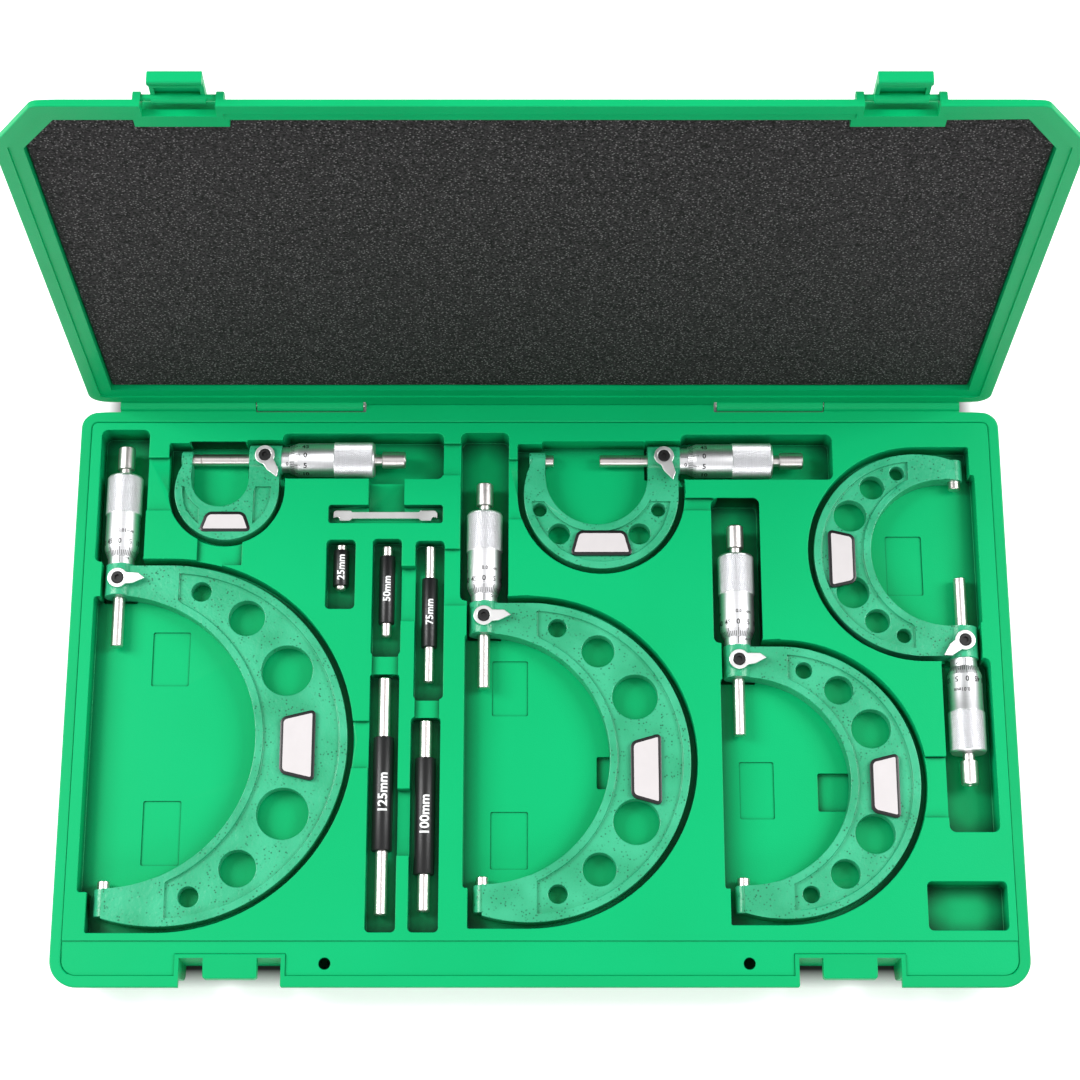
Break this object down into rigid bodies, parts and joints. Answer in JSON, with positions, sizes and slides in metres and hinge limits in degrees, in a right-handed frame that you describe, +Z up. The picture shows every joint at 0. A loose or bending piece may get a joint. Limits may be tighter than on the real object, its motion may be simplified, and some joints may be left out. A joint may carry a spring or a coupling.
{
  "type": "micrometer case",
  "caption": "Hinged moulded case with two latches, a foam-lined lid and a pocketed tray that seats outside micrometers, setting standards and a spanner.",
  "frame": {"origin": "centre of the case's underside, on the surface it rests on", "axes": "+X to the right along the front edge, +Y from the front edge to the hinge, +Z up out of the base"},
  "size_m": [0.5, 0.3496, 0.3561],
  "materials": {
    "case_plastic": "satin moulded plastic",
    "tray_plastic": "satin moulded plastic",
    "latch_plastic": "satin moulded plastic",
    "foam": "open cell foam",
    "hinge_steel": "drawn wire",
    "frame_enamel": "hammered enamel",
    "ground_steel": "ground",
    "satin_chrome": "satin chrome",
    "bright_chrome": "bright chrome",
    "grip_plastic": "black moulded grip"
  },
  "bodies": {
    "case_base": {"base_shell": "case_plastic", "insert_tray": "tray_plastic", "hinge_pins": "hinge_steel"},
    "lid": {"lid_shell": "case_plastic", "lid_foam": "foam"},
    "latch_left": {"latch_left": "latch_plastic"},
    "latch_right": {"latch_right": "latch_plastic"},
    "spanner": {"adjusting_spanner": "bright_chrome"},
    "standard_25": {"standard_25_rod": "ground_steel", "standard_25_grip": "grip_plastic"},
    "standard_50": {"standard_50_rod": "ground_steel", "standard_50_grip": "grip_plastic"},
    "standard_75": {"standard_75_rod": "ground_steel", "standard_75_grip": "grip_plastic"},
    "standard_100": {"standard_100_rod": "ground_steel", "standard_100_grip": "grip_plastic"},
    "standard_125": {"standard_125_rod": "ground_steel", "standard_125_grip": "grip_plastic"},
    "micrometer_0_25": {"micrometer_0_25_frame": "frame_enamel", "micrometer_0_25_anvil": "ground_steel", "micrometer_0_25_sleeve": "satin_chrome"},
    "micrometer_0_25_spindle": {"micrometer_0_25_spindle": "ground_steel"},
    "micrometer_0_25_thimble": {"micrometer_0_25_thimble": "satin_chrome"},
    "micrometer_0_25_ratchet": {"micrometer_0_25_ratchet": "bright_chrome"},
    "micrometer_0_25_lock": {"micrometer_0_25_lock_lever": "bright_chrome"},
    "micrometer_25_50": {"micrometer_25_50_frame": "frame_enamel", "micrometer_25_50_anvil": "ground_steel", "micrometer_25_50_sleeve": "satin_chrome"},
    "micrometer_25_50_spindle": {"micrometer_25_50_spindle": "ground_steel"},
    "micrometer_25_50_thimble": {"micrometer_25_50_thimble": "satin_chrome"},
    "micrometer_25_50_ratchet": {"micrometer_25_50_ratchet": "bright_chrome"},
    "micrometer_25_50_lock": {"micrometer_25_50_lock_lever": "bright_chrome"},
    "micrometer_50_75": {"micrometer_50_75_frame": "frame_enamel", "micrometer_50_75_anvil": "ground_steel", "micrometer_50_75_sleeve": "satin_chrome"},
    "micrometer_50_75_spindle": {"micrometer_50_75_spindle": "ground_steel"},
    "micrometer_50_75_thimble": {"micrometer_50_75_thimble": "satin_chrome"},
    "micrometer_50_75_ratchet": {"micrometer_50_75_ratchet": "bright_chrome"},
    "micrometer_50_75_lock": {"micrometer_50_75_lock_lever": "bright_chrome"},
    "micrometer_75_100": {"micrometer_75_100_frame": "frame_enamel", "micrometer_75_100_anvil": "ground_steel", "micrometer_75_100_sleeve": "satin_chrome"},
    "micrometer_75_100_spindle": {"micrometer_75_100_spindle": "ground_steel"},
    "micrometer_75_100_thimble": {"micrometer_75_100_thimble": "satin_chrome"},
    "micrometer_75_100_ratchet": {"micrometer_75_100_ratchet": "bright_chrome"},
    "micrometer_75_100_lock": {"micrometer_75_100_lock_lever": "bright_chrome"},
    "micrometer_100_125": {"micrometer_100_125_frame": "frame_enamel", "micrometer_100_125_anvil": "ground_steel", "micrometer_100_125_sleeve": "satin_chrome"},
    "micrometer_100_125_spindle": {"micrometer_100_125_spindle": "ground_steel"},
    "micrometer_100_125_thimble": {"micrometer_100_125_thimble": "satin_chrome"},
    "micrometer_100_125_ratchet": {"micrometer_100_125_ratchet": "bright_chrome"},
    "micrometer_100_125_lock": {"micrometer_100_125_lock_lever": "bright_chrome"},
    "micrometer_125_150": {"micrometer_125_150_frame": "frame_enamel", "micrometer_125_150_anvil": "ground_steel", "micrometer_125_150_sleeve": "satin_chrome"},
    "micrometer_125_150_spindle": {"micrometer_125_150_spindle": "ground_steel"},
    "micrometer_125_150_thimble": {"micrometer_125_150_thimble": "satin_chrome"},
    "micrometer_125_150_ratchet": {"micrometer_125_150_ratchet": "bright_chrome"},
    "micrometer_125_150_lock": {"micrometer_125_150_lock_lever": "bright_chrome"}
  },
  "joints": [
    {"name": "lid_hinge", "type": "hinge", "parent": "case_base", "child": "lid", "pos_m": [0, 0.159, 0.03], "axis": [-1, 0, 0], "range_deg": [-94.5, 0]},
    {"name": "latch_left_pivot", "type": "hinge", "parent": "lid", "child": "latch_left", "pos_m": [-0.158, 0.18984, 0.33903], "axis": [-1, 0, 0], "range_deg": [-90, 0]},
    {"name": "latch_right_pivot", "type": "hinge", "parent": "lid", "child": "latch_right", "pos_m": [0.158, 0.18984, 0.33903], "axis": [-1, 0, 0], "range_deg": [-90, 0]},
    {"name": "standard_25_lift", "type": "slide", "parent": "case_base", "child": "standard_25", "axis": [0, 0, 1], "range_m": [0, 0.06]},
    {"name": "standard_50_lift", "type": "slide", "parent": "case_base", "child": "standard_50", "axis": [0, 0, 1], "range_m": [0, 0.06]},
    {"name": "standard_75_lift", "type": "slide", "parent": "case_base", "child": "standard_75", "axis": [0, 0, 1], "range_m": [0, 0.06]},
    {"name": "standard_100_lift", "type": "slide", "parent": "case_base", "child": "standard_100", "axis": [0, 0, 1], "range_m": [0, 0.06]},
    {"name": "standard_125_lift", "type": "slide", "parent": "case_base", "child": "standard_125", "axis": [0, 0, 1], "range_m": [0, 0.06]},
    {"name": "spanner_lift", "type": "slide", "parent": "case_base", "child": "spanner", "axis": [0, 0, 1], "range_m": [0, 0.06]},
    {"name": "micrometer_0_25_lift", "type": "slide", "parent": "case_base", "child": "micrometer_0_25", "axis": [0, 0, 1], "range_m": [0, 0.06]},
    {"name": "micrometer_0_25_spindle_feed", "type": "slide", "parent": "micrometer_0_25", "child": "micrometer_0_25_spindle", "axis": [1, 0, 0], "range_m": [0, 0.02]},
    {"name": "micrometer_0_25_thimble_turn", "type": "hinge", "parent": "micrometer_0_25_spindle", "child": "micrometer_0_25_thimble", "pos_m": [-0.1161, 0.1298, 0.0225], "axis": [1, 0, 0], "range_deg": [0, 14400]},
    {"name": "micrometer_0_25_ratchet_turn", "type": "hinge", "parent": "micrometer_0_25_thimble", "child": "micrometer_0_25_ratchet", "pos_m": [-0.0761, 0.1298, 0.0225], "axis": [1, 0, 0], "continuous": true},
    {"name": "micrometer_0_25_lock_turn", "type": "hinge", "parent": "micrometer_0_25", "child": "micrometer_0_25_lock", "pos_m": [-0.14925, 0.1298, 0.0225], "axis": [0, 0, 1], "range_deg": [-50, 0]},
    {"name": "micrometer_25_50_lift", "type": "slide", "parent": "case_base", "child": "micrometer_25_50", "axis": [0, 0, 1], "range_m": [0, 0.06]},
    {"name": "micrometer_25_50_spindle_feed", "type": "slide", "parent": "micrometer_25_50", "child": "micrometer_25_50_spindle", "axis": [1, 0, 0], "range_m": [0, 0.0145]},
    {"name": "micrometer_25_50_thimble_turn", "type": "hinge", "parent": "micrometer_25_50_spindle", "child": "micrometer_25_50_thimble", "pos_m": [0.1004, 0.1292, 0.0225], "axis": [1, 0, 0], "range_deg": [0, 10440]},
    {"name": "micrometer_25_50_ratchet_turn", "type": "hinge", "parent": "micrometer_25_50_thimble", "child": "micrometer_25_50_ratchet", "pos_m": [0.1404, 0.1292, 0.0225], "axis": [1, 0, 0], "continuous": true},
    {"name": "micrometer_25_50_lock_turn", "type": "hinge", "parent": "micrometer_25_50", "child": "micrometer_25_50_lock", "pos_m": [0.06725, 0.1292, 0.0225], "axis": [0, 0, 1], "range_deg": [-50, 0]},
    {"name": "micrometer_50_75_lift", "type": "slide", "parent": "case_base", "child": "micrometer_50_75", "axis": [0, 0, 1], "range_m": [0, 0.06]},
    {"name": "micrometer_50_75_spindle_feed", "type": "slide", "parent": "micrometer_50_75", "child": "micrometer_50_75_spindle", "axis": [0, -1, 0], "range_m": [0, 0.025]},
    {"name": "micrometer_50_75_thimble_turn", "type": "hinge", "parent": "micrometer_50_75_spindle", "child": "micrometer_50_75_thimble", "pos_m": [0.2252, -0.0069, 0.0225], "axis": [0, -1, 0], "range_deg": [0, 18000]},
    {"name": "micrometer_50_75_ratchet_turn", "type": "hinge", "parent": "micrometer_50_75_thimble", "child": "micrometer_50_75_ratchet", "pos_m": [0.2252, -0.0469, 0.0225], "axis": [0, -1, 0], "continuous": true},
    {"name": "micrometer_50_75_lock_turn", "type": "hinge", "parent": "micrometer_50_75", "child": "micrometer_50_75_lock", "pos_m": [0.2252, 0.02625, 0.0225], "axis": [0, 0, 1], "range_deg": [-50, 0]},
    {"name": "micrometer_75_100_lift", "type": "slide", "parent": "case_base", "child": "micrometer_75_100", "axis": [0, 0, 1], "range_m": [0, 0.06]},
    {"name": "micrometer_75_100_spindle_feed", "type": "slide", "parent": "micrometer_75_100", "child": "micrometer_75_100_spindle", "axis": [0, 1, 0], "range_m": [0, 0.0135]},
    {"name": "micrometer_75_100_thimble_turn", "type": "hinge", "parent": "micrometer_75_100_spindle", "child": "micrometer_75_100_thimble", "pos_m": [0.1053, 0.0489, 0.0225], "axis": [0, 1, 0], "range_deg": [0, 9720]},
    {"name": "micrometer_75_100_ratchet_turn", "type": "hinge", "parent": "micrometer_75_100_thimble", "child": "micrometer_75_100_ratchet", "pos_m": [0.1053, 0.0889, 0.0225], "axis": [0, 1, 0], "continuous": true},
    {"name": "micrometer_75_100_lock_turn", "type": "hinge", "parent": "micrometer_75_100", "child": "micrometer_75_100_lock", "pos_m": [0.1053, 0.01575, 0.0225], "axis": [0, 0, 1], "range_deg": [-50, 0]},
    {"name": "micrometer_100_125_lift", "type": "slide", "parent": "case_base", "child": "micrometer_100_125", "axis": [0, 0, 1], "range_m": [0, 0.06]},
    {"name": "micrometer_100_125_spindle_feed", "type": "slide", "parent": "micrometer_100_125", "child": "micrometer_100_125_spindle", "axis": [0, 1, 0], "range_m": [0, 0.025]},
    {"name": "micrometer_100_125_thimble_turn", "type": "hinge", "parent": "micrometer_100_125_spindle", "child": "micrometer_100_125_thimble", "pos_m": [-0.0299, 0.0729, 0.0225], "axis": [0, 1, 0], "range_deg": [0, 18000]},
    {"name": "micrometer_100_125_ratchet_turn", "type": "hinge", "parent": "micrometer_100_125_thimble", "child": "micrometer_100_125_ratchet", "pos_m": [-0.0299, 0.1129, 0.0225], "axis": [0, 1, 0], "continuous": true},
    {"name": "micrometer_100_125_lock_turn", "type": "hinge", "parent": "micrometer_100_125", "child": "micrometer_100_125_lock", "pos_m": [-0.0299, 0.03975, 0.0225], "axis": [0, 0, 1], "range_deg": [-50, 0]},
    {"name": "micrometer_125_150_lift", "type": "slide", "parent": "case_base", "child": "micrometer_125_150", "axis": [0, 0, 1], "range_m": [0, 0.06]},
    {"name": "micrometer_125_150_spindle_feed", "type": "slide", "parent": "micrometer_125_150", "child": "micrometer_125_150_spindle", "axis": [0, 1, 0], "range_m": [0, 0.008]},
    {"name": "micrometer_125_150_thimble_turn", "type": "hinge", "parent": "micrometer_125_150_spindle", "child": "micrometer_125_150_thimble", "pos_m": [-0.2255, 0.0937, 0.0225], "axis": [0, 1, 0], "range_deg": [0, 5760]},
    {"name": "micrometer_125_150_ratchet_turn", "type": "hinge", "parent": "micrometer_125_150_thimble", "child": "micrometer_125_150_ratchet", "pos_m": [-0.2255, 0.1337, 0.0225], "axis": [0, 1, 0], "continuous": true},
    {"name": "micrometer_125_150_lock_turn", "type": "hinge", "parent": "micrometer_125_150", "child": "micrometer_125_150_lock", "pos_m": [-0.2255, 0.06055, 0.0225], "axis": [0, 0, 1], "range_deg": [-50, 0]}
  ],
  "couplings": [
    {"joint": "micrometer_0_25_thimble_turn", "follows": "micrometer_0_25_spindle_feed", "rad_per_m": 12566},
    {"joint": "micrometer_25_50_thimble_turn", "follows": "micrometer_25_50_spindle_feed", "rad_per_m": 12566},
    {"joint": "micrometer_50_75_thimble_turn", "follows": "micrometer_50_75_spindle_feed", "rad_per_m": 12566},
    {"joint": "micrometer_75_100_thimble_turn", "follows": "micrometer_75_100_spindle_feed", "rad_per_m": 12566},
    {"joint": "micrometer_100_125_thimble_turn", "follows": "micrometer_100_125_spindle_feed", "rad_per_m": 12566},
    {"joint": "micrometer_125_150_thimble_turn", "follows": "micrometer_125_150_spindle_feed", "rad_per_m": 12566}
  ]
}
